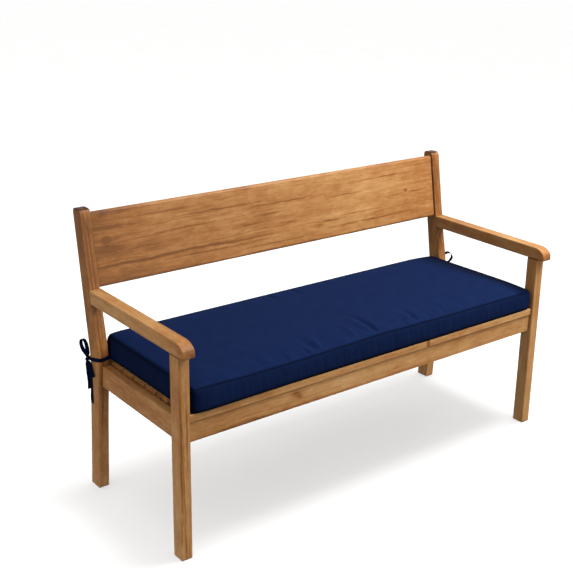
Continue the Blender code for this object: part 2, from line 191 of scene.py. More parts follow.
def navy_cloth(name, thread, bump, depth=1.0):
    """Solution-dyed navy canvas in plain weave: threads, slubs along both yarns and a soft mottle. A depth
    under 1 is a deeper colour.

    The attribute "cloth" holds metres along the warp, metres along the weft and the depth of painted shade,
    which is painted into seams and stitch lines, the knot's sunk edges, the gap under the cushion, beside
    the left leg and under the right arm.
    """
    made, shader, cloth = new_look(name, "cloth", {
        "Specular IOR Level": 0.03, "Sheen Weight": 0.008, "Sheen Roughness": 0.5,
        "Sheen Tint": (0.35, 0.48, 0.95, 1.0)})
    warp, weft, seam = cloth.parts()
    turn = 2 * math.pi / thread
    weave = (warp * turn).math("COSINE") * (weft * turn).math("COSINE")
    slubs = cloth.noise(14.0, 1300.0, 1.0) + cloth.noise(1300.0, 14.0, 1.0)
    mottle = cloth.noise(26.0, 21.0, 1.0, detail=4.0, roughness=0.6)
    tone = (slubs - 1.0) * 0.5 + (mottle - 0.5) * 0.5 + weave * 0.07 + 0.5
    stops = [(place, tuple(depth * part for part in colour))
             for place, colour in ((0.15, NAVY_DEEP), (0.5, NAVY), (0.9, NAVY_WORN))]
    colour = tone.node("ShaderNodeValToRGB", {"stops": stops}, Fac=tone)
    # Painted shade: the third value of "cloth" draws the colour toward a near-black navy.
    colour = colour.mixed((*[part * 0.25 for part in NAVY_DEEP], 1.0), seam * 0.75)
    colour.feed(shader, "Base Color")
    (0.86 + (mottle - 0.5) * 0.12).feed(shader, "Roughness")
    height = weave * 0.5 + slubs * 0.35
    height.node("ShaderNodeBump", Height=height, Strength=bump, Distance=0.0003).feed(shader, "Normal")
    return made


def skin(name, rings, look, **marks):
    """A closed surface through rings[station, place round it]: quads between neighbours and one flat face
    on each end ring. Each ring turns the same way as a right-hand screw along the stations. marks are the
    piece's own values, one for each point, that its material reads."""
    stations, around = rings.shape[:2]
    index = np.arange(stations * around).reshape(stations, around)
    after = np.roll(index, -1, axis=1)
    quads = np.stack([index[:-1], after[:-1], after[1:], index[1:]], axis=-1).reshape(-1, 4)
    return closed_piece(name, rings, [*quads.tolist(), index[0, ::-1].tolist(), index[-1].tolist()],
                        look, **marks)


def closed_piece(name, points, faces, look, **marks):
    """An object of these points and faces, smooth, with its marks stored on its points."""
    mesh = bpy.data.meshes.new(name)
    mesh.from_pydata(points.reshape(-1, 3), [], faces)
    for mark, values in marks.items():
        kind, slot_name, width = ("FLOAT_VECTOR", "vector", 3) if values.ndim == points.ndim else (
            "FLOAT", "value", 1)
        stored = mesh.attributes.new(mark, kind, "POINT")
        stored.data.foreach_set(slot_name, values.reshape(-1, width).astype(np.float32).ravel())
    mesh.shade_smooth()
    mesh.materials.append(look)
    made = placed(name, mesh)
    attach(made, "root")
    return made


def smooth_route(points, stations):
    """Evenly spaced places on the curve through the given points. Between two of them it is the cubic
    whose slope at each point is half the step from the point before to the point after."""
    ends = np.vstack([2 * points[0] - points[1], points, 2 * points[-1] - points[-2]])
    t = np.linspace(0.0, 1.0, 17)[:, None, None]
    start, finish = ends[1:-2], ends[2:-1]
    leave, arrive = (finish - ends[:-3]) / 2, (ends[3:] - start) / 2
    pieces = ((2 * t**3 - 3 * t**2 + 1) * start + (t**3 - 2 * t**2 + t) * leave
              + (3 * t**2 - 2 * t**3) * finish + (t**3 - t**2) * arrive)
    fine = np.vstack([pieces[:-1].transpose(1, 0, 2).reshape(-1, 3), points[-1]])
    run = np.append(0.0, np.cumsum(np.linalg.norm(np.diff(fine, axis=0), axis=1)))
    wanted = np.linspace(0.0, run[-1], stations)
    return np.stack([np.interp(wanted, run, fine[:, axis]) for axis in range(3)], axis=1), wanted


def unit(vectors):
    return vectors / np.linalg.norm(vectors, axis=-1, keepdims=True)


def bell(away, run):
    """1 at a place and falling off smoothly to 0 away from it."""
    return np.exp(-((away / run) ** 2))


# One half of the tape's edge-to-edge section: share of its half width, and share of its half thickness,
# from the folded edge over the sunk line of stitches to the middle.
TAPE_SECTION = np.array([(1.0, 0.0), (0.99, 0.45), (0.95, 0.82), (0.88, 0.98), (0.80, 0.95), (0.73, 0.62),
                         (0.66, 0.90), (0.45, 0.97), (0.22, 0.94)])


def tape(name, points, facing, gathered, phase):
    """A flat tape: its section carried along its route with the width toward facing. The section narrows
    into the knot, and the width rocks and cups a little along the way, as cloth does."""
    count = int(np.linalg.norm(np.diff(points, axis=0), axis=1).sum() / TAPE_STATION)
    route, run = smooth_route(points, count)
    direction = unit(np.gradient(route, axis=0))
    wide = unit(facing - direction * (direction @ facing)[:, None])
    flat = np.cross(direction, wide)
    nearest = np.minimum(run if "start" in gathered else np.inf,
                         run[-1] - run if "end" in gathered else np.inf)
    share = np.clip(nearest / GATHER_RUN, 0.0, 1.0)
    loose = share * np.clip(np.minimum(run, run[-1] - run) / HELD_RUN, 0.0, 1.0)
    rock = ROCK * loose * np.sin(run / ROCK_RUN + phase)
    wide, flat = (wide * np.cos(rock)[:, None] + flat * np.sin(rock)[:, None],
                  flat * np.cos(rock)[:, None] - wide * np.sin(rock)[:, None])
    half_wide = (TAPE_GATHERED + (TAPE_WIDE - TAPE_GATHERED) * share) / 2
    half_thick = TAPE_THICK / 2 * (1.5 - 0.5 * share)
    half = np.vstack([TAPE_SECTION, (0.0, 0.93), TAPE_SECTION[::-1] * (-1, 1)])
    section = np.vstack([half, half[-2:0:-1] * (1, -1)])
    across, through = section[:, 0], section[:, 1]
    cup = CUP * (loose * np.sin(run / CUP_RUN + 2 * phase))[:, None] * (across**2 - 0.4)
    rings = (route[:, None] + wide[:, None] * (across * half_wide[:, None])[..., None]
             + flat[:, None] * (through * half_thick[:, None] + cup)[..., None])
    # The third value is painted shade along the sunk lines of stitches.
    cloth = np.stack(np.broadcast_arrays(run[:, None], across * TAPE_WIDE / 2,
                                         0.6 * (np.abs(np.abs(across) - STITCHES) < 0.02)), axis=-1)
    made = skin(f"{name}_sewn", rings, tie_cloth, cloth=cloth)
    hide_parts(name)
    return made, route, run[-1]


def knot_side(place, toward):
    """Where a tape that comes from toward meets the knot, a gap off its surface."""
    way = unit(toward - place)
    return place + way * (1 / np.linalg.norm(way / KNOT_HALF) + GAP)


def tied_knot(name, place):
    """The pulled-tight knot: an egg shape whose distance from its middle swells in one band of tape that
    wraps it from top to bottom, with a sunk edge at each side of the band and soft folds along it."""
    polar = np.linspace(0.02, math.pi - 0.02, 30)[:, None]
    round_it = np.linspace(0.0, 2 * math.pi, 40, endpoint=False)
    way = np.stack(np.broadcast_arrays(np.sin(polar) * np.cos(round_it), np.sin(polar) * np.sin(round_it),
                                       np.cos(polar)), axis=-1)
    lean = way[..., 1] + 0.35 * way[..., 2]
    band = 1 / (1 + np.exp((np.abs(lean) - KNOT_BAND) / 0.04))
    edge = bell(np.abs(lean) - KNOT_EDGE, 0.07)
    folds = np.sin(26 * lean + 3 * way[..., 0]) * band
    swell = 0.93 + 0.10 * band - 0.13 * edge + 0.025 * folds + 0.03 * np.sin(5 * round_it + 4 * polar)
    reach = swell / np.linalg.norm(way / KNOT_HALF, axis=-1)
    # The third value is painted shade in the sunk edges of the knot's band.
    cloth = np.stack([way[..., 0] * 0.01, way[..., 2] * 0.01, 0.9 * edge], axis=-1)
    made = skin(f"{name}_pulled", place + way[::-1] * reach[::-1, :, None], tie_cloth, cloth=cloth[::-1])
    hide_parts(name)
    return made


# The ties' navy is a deeper copy of the cushion's: partly painted shade, for the shade they hang in beside
# the back posts.
tie_cloth = navy_cloth("navy tie tape", thread=0.00055, bump=0.35, depth=0.40)
KNOT_PLACE = (-0.7588, 0.5225, 0.4475)
SEWN_ON = {"left": [(-0.701, 0.466, 0.4628), (-0.707, 0.4628, 0.4635), (-0.716, 0.4622, 0.4636)],
           "right": [(-0.711, 0.454, 0.4625), (-0.7182, 0.4608, 0.4632)]}
# Each tape of the left side: its points, the way its width lies, its ends on the knot, and how it is held.
TAPES = {
    "front_band": ([(-0.7276, 0.4621, 0.4605), (-0.74, 0.4621, 0.4593), (-0.7493, 0.4629, 0.4602),
                    (-0.7516, 0.467, 0.46), (-0.7515, 0.48, 0.456), (-0.7516, 0.495, 0.4525),
                    (-0.7526, 0.508, 0.4495)], (0, 0, 1), "end", "taut", "knot"),
    "back_band": ([(-0.68, 0.5072, 0.459), (-0.689, 0.5165, 0.46), (-0.702, 0.5205, 0.46),
                   (-0.72, 0.5212, 0.458), (-0.737, 0.5214, 0.455), (-0.7485, 0.5222, 0.452)],
                  (0, 0, 1), "end", "taut", "knot"),
    "loop_up": ([(-0.7588, 0.5172, 0.464), (-0.7583, 0.5186, 0.4746), (-0.7583, 0.5222, 0.489),
                 (-0.7583, 0.5288, 0.501), (-0.7584, 0.54, 0.5064), (-0.7586, 0.552, 0.5036),
                 (-0.7589, 0.5592, 0.495), (-0.7588, 0.5596, 0.484), (-0.7582, 0.5515, 0.472),
                 (-0.7576, 0.5395, 0.4645), (-0.7574, 0.5295, 0.459)], (1, 0, 0), "start end", "loose",
                "object"),
    "loop_down": ([(-0.7634, 0.5108, 0.437), (-0.7622, 0.504, 0.427), (-0.7612, 0.4984, 0.415),
                   (-0.7606, 0.4932, 0.405), (-0.7602, 0.4902, 0.3996), (-0.7597, 0.4908, 0.3978),
                   (-0.7586, 0.4922, 0.397), (-0.7575, 0.4937, 0.3978), (-0.7569, 0.4946, 0.3996),
                   (-0.7568, 0.4975, 0.405), (-0.757, 0.5028, 0.415), (-0.7574, 0.5082, 0.427),
                   (-0.7582, 0.515, 0.437)], (0.78, -0.63, 0), "start end", "hanging", "object"),
    "tail_a": ([(-0.7566, 0.5297, 0.432), (-0.7552, 0.5285, 0.4101), (-0.7545, 0.5265, 0.3757),
                (-0.7545, 0.5252, 0.3448)], (1, 0.1, 0), "start", "hanging", "bare"),
    "tail_b": ([(-0.7524, 0.519, 0.4335), (-0.7524, 0.516, 0.415), (-0.7524, 0.515, 0.3894),
                (-0.7526, 0.5148, 0.3487), (-0.753, 0.5145, 0.2985)], (0.15, -1, 0), "start", "hanging",
               "bare"),
}
# The right side's upright loop leans outward, toward the front.
LEANING_LOOP = [(-0.76, 0.517, 0.468), (-0.764, 0.5125, 0.488), (-0.77, 0.5072, 0.504),
                (-0.7775, 0.5012, 0.5142), (-0.785, 0.495, 0.5178), (-0.7925, 0.489, 0.514),
                (-0.7975, 0.485, 0.503), (-0.7965, 0.4862, 0.4925), (-0.7905, 0.491, 0.482),
                (-0.783, 0.498, 0.472), (-0.776, 0.507, 0.462), (-0.77, 0.5148, 0.4545)]
LEANING_TOWARD = (-0.31, 0.92, 0.23)
for name, side in (("left", 1), ("right", -1)):
    place = np.array(KNOT_PLACE) * (side, 1, 1) + (0, LEGS_FRONT, 0)
    knot = tied_knot(f"tie_{name}_knot", place)
    for phase, (piece, (points, facing, on_knot, lay, far_end)) in enumerate(TAPES.items()):
        if piece == "front_band":
            points = SEWN_ON[name] + points
        if piece == "loop_up" and name == "right":
            points, facing = LEANING_LOOP, LEANING_TOWARD
        route = np.array(points) * (side, 1, 1) + (0, LEGS_FRONT, 0)
        if "start" in on_knot:
            route = np.vstack([knot_side(place, route[0]), route])
        if "end" in on_knot:
            route = np.vstack([route, knot_side(place, route[-1])])
        made, line, length = tape(f"tie_{name}_{piece}", route, np.array(facing) * (side, 1, 1), on_knot,
                                  phase + 0.7 * side)

# ---- The cushion -----------------------------------------------------------------------------------------
# One foam-filled bench cushion in navy canvas: a top and a bottom panel joined by a 66 mm boxing strip,
# with a plain turned seam sunk along both edges. It lies on the seat, held by the ties at its back corners.
# Its edges roll over softly, and the front seam wanders and gathers a few short creases of uneven depth.
BOXING = 0.066
SEAT = 0.4493
# The seams' places: left and right, front and back.
SEAM_BOX = np.array([(-0.6958, 0.7080), (-0.2660, 0.2246)])
ROLL_RISE = 0.0105  # how high the top rolls up from its seam, and over what run at each side
ROLL_RUNS = {"left": 0.046, "right": 0.040, "front": 0.034, "back": 0.030}
CROWN, CROWN_RUN = 0.0035, 0.120  # the rest of the rise, to where the panel is level
UNDER_RISE, UNDER_RUN = 0.0048, 0.016  # how the bottom panel rolls up to its own seam
CORNER_ROUND = 0.012
GROOVE, GROOVE_RUN = 0.0022, 0.0018  # how far the cloth rolls out of the seam on each side
BULGE = 0.0026  # how far the boxing swells, most at a third of its height
EDGE_LINES = (0.0, 0.0007, 0.0016, 0.0028, 0.0044, 0.0066, 0.0095, 0.013, 0.0175, 0.023, 0.030)
BOXING_ROWS = (0.0, 0.0007, 0.0016, 0.0028, 0.0046, 0.0072, 0.0107, 0.0152, 0.0210, 0.0280)
FINE, COARSE = (0.0035, 0.0085), (0.012, 0.012)  # spacing of a panel's grid lines along and across
SWELL_MOST, SWELL_RUN = 0.0030, 0.05  # how far the filling lifts the top, and how far in from its seams
HELD_EDGE = 0.009  # the simulation holds this much of the cloth at each seam
# At x along the bench, the front top seam's height above or below the boxing's height.
FRONT_SEAM_RISE = np.array([(-0.70, 0.0), (-0.48, -0.0050), (-0.32, -0.0050), (-0.16, -0.0015),
                            (0.0, 0.0020), (0.17, -0.0010), (0.36, -0.0035), (0.71, -0.0040)])
BACK_SEAM_RISE = 0.0015
SEAM_RISE_REACH = 0.14  # how far in from a seam its rise is felt
DROOP, DROOP_SIDE, DROOP_BACK = 0.0058, 0.080, 0.30  # the right end's drop, most at the back, and its reach
FRONT_FOOT, LEFT_FOOT = 0.0080, 0.0100  # how far the foot of the front and of the left boxing has spread
FRONT_FOOT_LEFT, FRONT_FOOT_RUN = 0.0075, 0.26  # the front's foot spreads this much more toward its left end
FOOT_REACH, FOOT_ENDS = 0.10, 0.05  # how far in the spread is felt, and how far from its ends it is full
# How deep the painted shade is, from 0 on an open panel to 1 in a seam, and the runs over which it fades.
SEAM_SHADE_RUN, END_SEAM_SHADE_RUN = 0.0018, 0.0050
BOXING_SHADE, BOXING_SHADE_ENDS = 0.44, 0.18  # painted shade over the whole boxing, and how much more at its two ends
BOXING_SEAM_RUN, BOXING_SEAM_ENDS, BOXING_FOOT_RUN = 0.0016, 0.0032, 0.0095
FOOT_SHADE, FOOT_SHADE_RUN, UNDER_SHADE_RUN = 1.35, 0.0060, 0.018  # painted shade, darkest, in the gap under the cushion
LEG_SHADE, LEG_SHADE_RUN = 0.8, 0.035  # painted shade on the front boxing beside the left leg
ARM_SHADE, ARM_SHADE_FRONT, ARM_SHADE_MORE, ARM_SHADE_BACK = 0.74, 0.085, 0.090, 0.45  # painted shadow of the right arm over the top's right end
# The creases that run in from the seams, in millimetres: x and y of the inner end, x and y at the seam,
# depth, half width, and how far the middle strays to the right. A depth under 0 is a fold that stands up.
CREASES = np.array([
    (-6, -80, -12, -262, 6, 7.2, 4), (-56, -150, -50, -248, 1.4, 6, 3),
    (-87, -125, -84, -250, -2.6, 7.2, 0), (-116, -185, -108, -252, 1, 7, 0),
    (-237, -174, -232, -251, -3.6, 8.5, 3), (-262, -150, -256, -255, 2.6, 9, 4),
    (-285, -215, -284, -262, 3.2, 6.5, 0), (-371, -206, -364, -264, 2.8, 8, 3),
    (-395, -194, -396, -245, 1.2, 9, 0), (-464, -199, -445, -260, 1.4, 11, 0),
    (170, -168, 164, -255, 4.4, 7.5, 3), (146, -190, 140, -245, -1.4, 8, 0),
    (112, -205, 109, -259, 2.2, 8, 2), (297, -190, 297, -240, 1.8, 7, 0), (254, -222, 257, -258, 1.4, 6, 0),
    (470, -215, 478, -262, 1, 8, 0), (-110, 125, -110, 205, 3.4, 8, 2), (-90, 150, -86, 210, -1.4, 8, 0),
    (-13, 120, -3, 205, 3.4, 8.5, -2), (137, 150, 132, 212, 2, 7.5, 0), (155, 165, 152, 214, -1.2, 6, 0),
    (246, 158, 247, 212, 1.8, 6.5, 0), (318, 170, 314, 214, 1.4, 5.5, 0), (456, 150, 459, 210, 1.6, 7.5, 0),
    (-174, 149, -171, 205, 1.6, 6.5, 0), (-228, 145, -228, 206, 1.4, 7, 0),
    (-300, 155, -304, 208, 1.1, 6, 0), (-420, 160, -424, 208, 1, 7, 0)]) / 1000
CREASE_GROWN, CREASE_GROWS = 0.58, 0.32  # the share of its length where a crease is full, and the run before
CREASE_FULL, CREASE_DIES = 0.84, 0.14  # up to where it stays so, and the run after
CREASE_LIP, LIP_PLACE, LIP_HALF = 0.32, 2.0, 1.1  # the lips beside it, in its depths and half widths
# Upright ripples of the front and back boxing: how many to a metre, how deep, and where they start.
RIPPLES = ((11.3, 0.00050, 0.4), (27.0, 0.00050, 2.1), (41.0, 0.00042, 5.0), (63.0, 0.00026, 1.2))
middle = SEAM_BOX.mean(axis=1)
seam_x, seam_y = np.diff(SEAM_BOX, axis=1)[:, 0] / 2


def lines_across(half, spacing):
    """Places of the panel's grid lines across one side: close together at both seams, even between."""
    edge = np.array(EDGE_LINES)
    count = int(round(2 * (half - edge[-1]) / spacing))
    inside = np.linspace(edge[-1] - half, half - edge[-1], count + 1)[1:-1]
    return np.concatenate([edge - half, inside, half - edge[::-1]])


def eased(share):
    """0 up to no share, 1 from a whole one on, and a smooth step between them."""
    share = np.clip(share, 0.0, 1.0)
    return share * share * (3 - 2 * share)


def eased_between(table, at):
    """The values of a table of (place, value) rows at these places, smoothed between its rows."""
    row = np.clip(np.searchsorted(table[:, 0], at) - 1, 0, len(table) - 2)
    start, end = table[row], table[row + 1]
    share = eased((at - start[..., 0]) / (end[..., 0] - start[..., 0]))
    return start[..., 1] + (end[..., 1] - start[..., 1]) * share


def quarter(share):
    """The height of a quarter circle at a share of its run: 0 at its foot, 1 from its end on."""
    return np.sqrt(1 - (1 - np.clip(share, 0, 1)) ** 2)


def rolled(distance):
    """How far the cloth has rolled out of its seam at a distance from it."""
    return GROOVE * (1 - np.exp(-distance / GROOVE_RUN))


def creased(x, y):
    """The lift of all creases at (x, y): each a bell across its line, with a low lip on both sides, that
    grows in from its inner end, draws narrower toward the seam and dies away there."""
    lift = np.zeros_like(x)
    for start_x, start_y, end_x, end_y, depth, half, stray in CREASES:
        long = math.hypot(end_x - start_x, end_y - start_y)
        way_x, way_y = (end_x - start_x) / long, (end_y - start_y) / long
        share = ((x - start_x) * way_x + (y - start_y) * way_y) / long
        bow = 4 * stray * share * (1 - share)
        to_right = ((y - start_y) * way_x - (x - start_x) * way_y) * math.copysign(1, -way_y)
        aside = (to_right - bow) / (half * (1.9 - 1.0 * np.clip(share, 0, 1)))
        along = (bell(np.clip(CREASE_GROWN - share, 0, None), CREASE_GROWS)
                 * bell(np.clip(share - CREASE_FULL, 0, None), CREASE_DIES))
        lips = bell(aside - LIP_PLACE, LIP_HALF) + bell(aside + LIP_PLACE, LIP_HALF)
        profile = bell(aside, 1.0) - CREASE_LIP * lips
        lift -= depth * along * profile
    return lift


def cover(spacing, creases):
    """The whole cover as one closed form: two panels z(x, y) on one grid of lines, and the boxing between
    their rims. It gives the points, the faces, each point's place in the cloth and its painted shade, the
    grid's lines and each grid point's distance from the nearest seam."""
    line_x, line_y = lines_across(seam_x, spacing[0]), lines_across(seam_y, spacing[1])
    square_x, square_y = np.meshgrid(line_x, line_y, indexing="ij")
    over_x = np.clip((np.abs(square_x) - (seam_x - CORNER_ROUND)) / CORNER_ROUND, 0, None)
    over_y = np.clip((np.abs(square_y) - (seam_y - CORNER_ROUND)) / CORNER_ROUND, 0, None)
    x = square_x - np.sign(square_x) * CORNER_ROUND * over_x * (1 - np.sqrt(1 - over_y**2 / 2)) + middle[0]
    y = square_y - np.sign(square_y) * CORNER_ROUND * over_y * (1 - np.sqrt(1 - over_x**2 / 2)) + middle[1]
    left, right = seam_x + square_x, seam_x - square_x
    front, back = seam_y + square_y, seam_y - square_y
    from_x, from_y = np.minimum(left, right), np.minimum(front, back)
    nearest = np.minimum(from_x, from_y)
    roll = ROLL_RISE * (quarter(left / ROLL_RUNS["left"]) * quarter(right / ROLL_RUNS["right"])
                        * quarter(front / ROLL_RUNS["front"]) * quarter(back / ROLL_RUNS["back"]))
    crown = CROWN * (1 - (1 - np.clip(from_x / CROWN_RUN, 0, 1)) ** 2) * (
        1 - (1 - np.clip(from_y / CROWN_RUN, 0, 1)) ** 2)
    seam_rise = (eased_between(FRONT_SEAM_RISE, x) * np.clip(1 - front / SEAM_RISE_REACH, 0, 1) ** 2
                 + BACK_SEAM_RISE * np.clip(1 - back / SEAM_RISE_REACH, 0, 1) ** 2)
    droop = DROOP * bell(right, DROOP_SIDE) * bell(back, DROOP_BACK)
    rise = BOXING + seam_rise + roll + crown + rolled(nearest) - droop
    if creases:
        rise = rise + creased(x, y) * (1 - bell(nearest, 0.006))
    top_panel = np.stack([x, y, SEAT + rise], axis=-1)
    under = UNDER_RISE * (1 - quarter(from_x / UNDER_RUN) * quarter(from_y / UNDER_RUN))
    spread = FRONT_FOOT + FRONT_FOOT_LEFT * bell(left, FRONT_FOOT_RUN)
    ahead = spread * np.clip(1 - front / FOOT_REACH, 0, 1) * quarter(from_x / FOOT_ENDS)
    aside = LEFT_FOOT * np.clip(1 - left / FOOT_REACH, 0, 1)
    under = SEAT + under - np.minimum(rolled(nearest), under)
    bottom_panel = np.stack([x - aside, y - ahead, under], axis=-1)
    grid = np.arange(x.size).reshape(x.shape)
    rim = np.concatenate([grid[:, 0], grid[-1, 1:], grid[-2::-1, -1], grid[0, -2:0:-1]])
    rim_top = top_panel.reshape(-1, 3)[rim]
    rim_bottom = bottom_panel.reshape(-1, 3)[rim]
    tall = BOXING - UNDER_RISE
    heights = np.array([*BOXING_ROWS, *(tall - np.array(BOXING_ROWS[::-1]))])[:, None]
    along = np.roll(rim_top, -1, axis=0) - np.roll(rim_top, 1, axis=0)
    outward = unit(np.stack([along[:, 1], -along[:, 0], 0 * along[:, 0]], axis=-1))
    rim_x = rim_top[:, 0]
    ripple = sum(deep * np.sin(2 * math.pi * many * rim_x + start + 1.3 * np.sin(9 * rim_x))
                 for many, deep, start in RIPPLES)
    share = heights / tall
    bulge = (rolled(np.minimum(heights, tall - heights)) + BULGE * np.sin(math.pi * share**0.8)
             + ripple * np.sin(math.pi * share) * np.abs(outward[:, 1]))
    strip = (rim_top + (rim_bottom - rim_top) * share[..., None] + outward * bulge[..., None])[1:-1]
    between = 2 * grid.size + np.arange(strip[..., 0].size).reshape(-1, len(rim))
    rows = np.vstack([rim, between, grid.size + rim])
    after = np.roll(rows, -1, axis=1)
    top_faces = np.stack([grid[:-1, :-1], grid[1:, :-1], grid[1:, 1:], grid[:-1, 1:]], axis=-1)
    top_faces = top_faces.reshape(-1, 4)
    strip_faces = np.stack([rows[:-1], rows[1:], after[1:], after[:-1]], axis=-1).reshape(-1, 4)
    faces = np.vstack([top_faces, top_faces[:, ::-1] + grid.size, strip_faces])
    points = np.vstack([part.reshape(-1, 3) for part in (top_panel, bottom_panel, strip)])
    run = np.append(0.0, np.cumsum(np.linalg.norm(np.diff(rim_top, axis=0), axis=1)))
    # The end seams are drawn in more than the long ones, so the painted shade in them is wider. The top also
    # gets a painted shadow of the right arm over its right end.
    in_end_seam = bell(from_x, END_SEAM_SHADE_RUN) * (from_x < from_y)
    reach = ARM_SHADE_FRONT + ARM_SHADE_MORE * np.clip(1 - back / ARM_SHADE_BACK, 0, 1)
    painted_arm_shadow = ARM_SHADE * (1 - eased((right / reach - 0.4) / 0.6))
    panel_shade = np.maximum(bell(nearest, SEAM_SHADE_RUN), np.maximum(in_end_seam, painted_arm_shadow))
    panel_cloth = np.stack([x, y, panel_shade], axis=-1)
    # The bottom panel gets painted shade near its seam, where it lies in the gap under the cushion.
    under_cloth = np.stack([x, y, FOOT_SHADE * bell(nearest, UNDER_SHADE_RUN)], axis=-1)
    at_end = np.abs(outward[:, 0])
    # Painted shade over the whole boxing, deeper at its two ends, and deeper still in its seams, beside the
    # left leg and, darkest, at its foot in the gap under the cushion.
    plain = BOXING_SHADE + BOXING_SHADE_ENDS * at_end
    above_foot = tall - heights[1:-1]
    in_seam = np.maximum(bell(heights[1:-1], BOXING_SEAM_RUN + BOXING_SEAM_ENDS * at_end),
                         bell(above_foot, BOXING_FOOT_RUN))
    painted_leg_shade = LEG_SHADE * bell(rim_x - SEAM_BOX[0, 0], LEG_SHADE_RUN) * (outward[:, 1] < 0)
    strip_shade = plain + (1 - plain) * np.maximum(in_seam, painted_leg_shade)
    strip_shade = strip_shade + (FOOT_SHADE - 1) * bell(above_foot, FOOT_SHADE_RUN)
    strip_cloth = np.stack(np.broadcast_arrays(run, above_foot, strip_shade), axis=-1)
    cloth = np.vstack([part.reshape(-1, 3) for part in (panel_cloth, under_cloth, strip_cloth)])
    return points, faces.tolist(), cloth, line_x, line_y, nearest


canvas = navy_cloth("navy canvas", thread=0.0008, bump=0.25)
points, faces, cloth, line_x, line_y = cover(FINE, creases=True)[:-1]
# The cover is blown out by its foam: on a coarser copy the seams and the underside are held, and the
# rest swells. Only the top's swelling is kept, evened out and carried over to the fine cover.
rough, rough_faces, rough_cloth, rough_x, rough_y, nearest = cover(COARSE, creases=False)
blown = closed_piece("filling", rough, rough_faces, canvas, cloth=rough_cloth)
held = blown.vertex_groups.new(name="held")
top_count = nearest.size
sewn = np.concatenate([nearest.ravel() < HELD_EDGE, np.ones(top_count, bool),
                       np.abs(rough[2 * top_count:, 2] - SEAT - BOXING / 2) > BOXING / 2 - HELD_EDGE])
held.add(np.flatnonzero(sewn).tolist(), 1.0, "REPLACE")
filling = blown.modifiers.new("filling", "CLOTH")
filling.settings.vertex_group_mass = "held"
filling.settings.use_pressure = True
filling.settings.uniform_pressure_force = 4.0
filling.settings.effector_weights.gravity = 0.0
for moment in range(1, 21):
    bpy.context.scene.frame_set(moment)
found = np.empty(rough.size, np.float32)
blown.evaluated_get(bpy.context.evaluated_depsgraph_get()).data.vertices.foreach_get("co", found)
bpy.context.scene.frame_set(1)
bpy.data.objects.remove(blown)
swell = (found.reshape(-1, 3) - rough)[:top_count, 2].reshape(nearest.shape)
swell = np.tanh(swell / SWELL_MOST) * SWELL_MOST * quarter(nearest / SWELL_RUN) ** 2
swell = np.stack([np.interp(line_y, rough_y, row) for row in swell])
swell = np.stack([np.interp(line_x, rough_x, column) for column in swell.T], axis=1)
points[:swell.size, 2] += swell.ravel()
cushion = closed_piece("filled_cushion", points, faces, canvas, cloth=cloth)
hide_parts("cushion")

# ---- The bench -------------------------------------------------------------------------------------------
# A plain garden bench of oiled tropical hardwood, golden brown. Legs, arms, rails and slats are sawn and
# planed bars with eased edges, jointed with hidden dowels and glue; the back is one wide board let in
# between the raked posts.
WOOD_SAWN_END = (0.030, 0.011, 0.004)
WOOD_DARK = (0.098, 0.036, 0.009)
WOOD_BROWN = (0.213, 0.084, 0.023)
WOOD_GOLD = (0.302, 0.158, 0.057)
WOOD_PALE = (0.390, 0.246, 0.118)
EASED = 0.003
EASED_THIN = 0.002
SHADING_LINE = 0.0009  # a line of points just inside each flat, so that only the eased edge shades round
STATION = 0.03
LEG_DEPTH = 0.045
KNEE_HEIGHT, KNEE_FACE = 0.460, 0.467 + LEGS_FRONT
LOWER_SLOPE = (0.467 - 0.502) / KNEE_HEIGHT
POST_HEIGHT = 0.9155
KNEE_FRONT, KNEE_REACH = 0.0050, 0.13  # how far a post swells in front at its knee, and over what reach
POST_DEEPER = 0.0065  # how much deeper it is at the back, up to the board and less behind it
POST_OUTER, POST_INNER = 0.750, 0.714
KNEE_STATIONS = np.linspace(0.40, 0.52, 13)
UPPER_SLOPE = (0.5436 - 0.467) / (POST_HEIGHT - KNEE_HEIGHT)
BEND_RADIUS = 0.25
POST_TOP_ROUND = 0.014
ARM_LIP, ARM_CURVE = 0.0115, 0.045
END_DARKER = 0.32  # how much deeper the oil has coloured a sawn end
MARKS_DARKEST = 0.15  # how dark knots, streaks and the painted edge shade can make the wood
PITH_BELOW = 0.055  # how far below a bar's middle its log's pith lies
# Small knots: place along and across in the log, their size, and how far they push the grain aside.
WOOD_KNOTS = ((17.327, 0.114, 0.0085, 0.016), (18.571, 0.095, 0.0052, 0.007), (9.903, 0.0374, 0.0042, 0.004))
